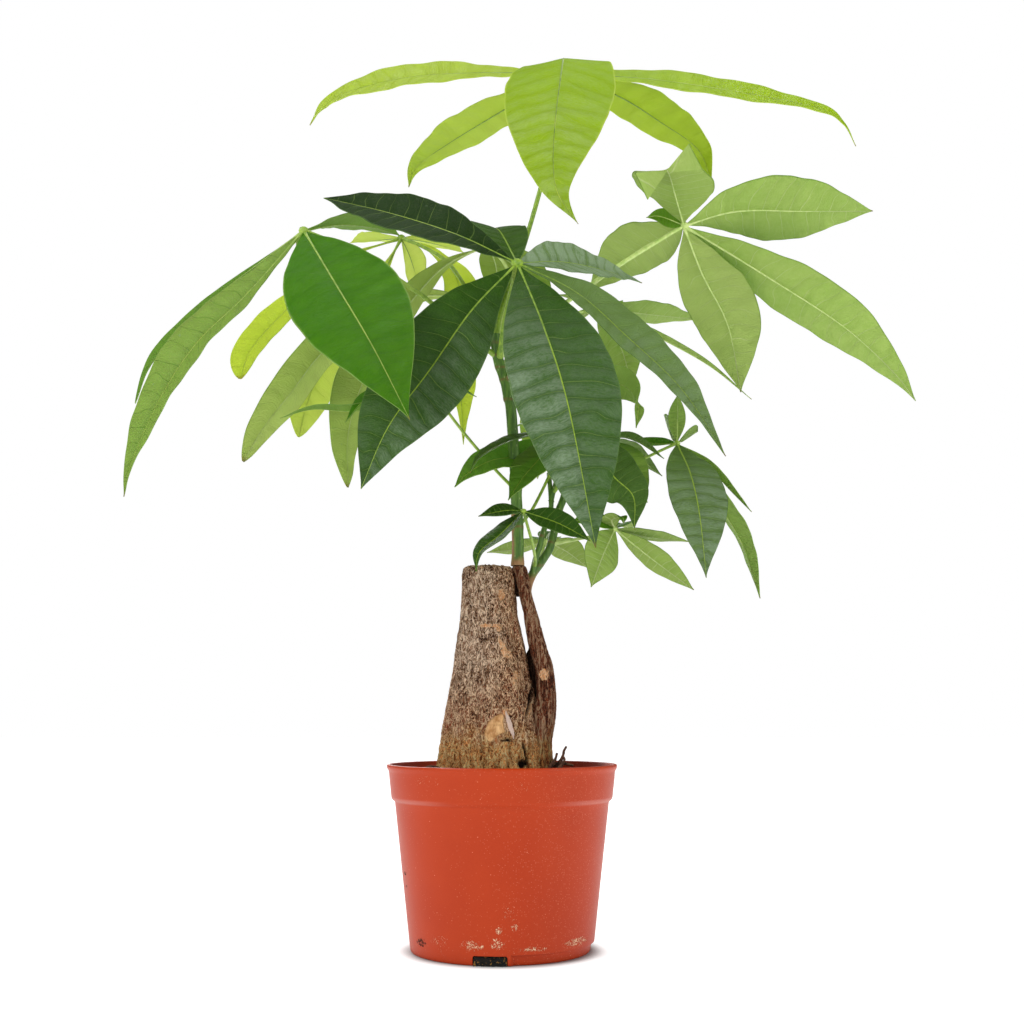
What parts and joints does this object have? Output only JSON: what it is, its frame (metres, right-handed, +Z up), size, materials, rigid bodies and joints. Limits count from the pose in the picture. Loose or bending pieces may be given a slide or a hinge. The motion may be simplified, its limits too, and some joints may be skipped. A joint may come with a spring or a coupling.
{
  "type": "potted money tree",
  "caption": "Young money tree with a thick stump, green stems and palmate leaves, standing in soil in a terracotta-coloured plastic pot.",
  "frame": {"origin": "middle of the pot's floor, on the surface that the pot stands on", "axes": "+Z up along the pot's axis; -Y is the front, the side that the picture shows; +X is its right"},
  "size_m": [0.4303, 0.2122, 0.503],
  "materials": {
    "pot": "satin moulded plastic with fine speckles and a little limescale",
    "soil": "dark, damp, crumbly potting soil",
    "bark": "rough grey-brown bark",
    "stem": "smooth green bark",
    "leaf_fresh": "glossy young leaf, yellow-green",
    "leaf_dark": "glossy mature leaf, dark green",
    "leaf_mid": "glossy mature leaf, mid green",
    "leaf_grey": "satin leaf underside, grey-green",
    "leaf_pale": "matte leaf underside, pale green"
  },
  "bodies": {
    "root": {"pot": "pot", "soil": "soil", "trunk": "bark", "stem_main": "stem", "stem_side": "stem", "leaf_top": "leaf_fresh", "leaf_centre": "leaf_dark", "leaf_left": "leaf_mid", "leaf_right": "leaf_pale", "leaf_back_left": "leaf_fresh", "leaf_mid_left": "leaf_grey", "leaf_inner": "leaf_grey", "leaf_mid_right": "leaf_pale", "leaf_low_left": "leaf_mid", "leaf_low_mid": "leaf_dark", "leaf_low_centre": "leaf_dark", "leaf_far_right": "leaf_mid", "leaf_low_front": "leaf_dark", "leaf_low_right": "leaf_pale", "leaf_low_back": "leaf_pale", "leaf_rear": "leaf_grey"}
  },
  "joints": []
}
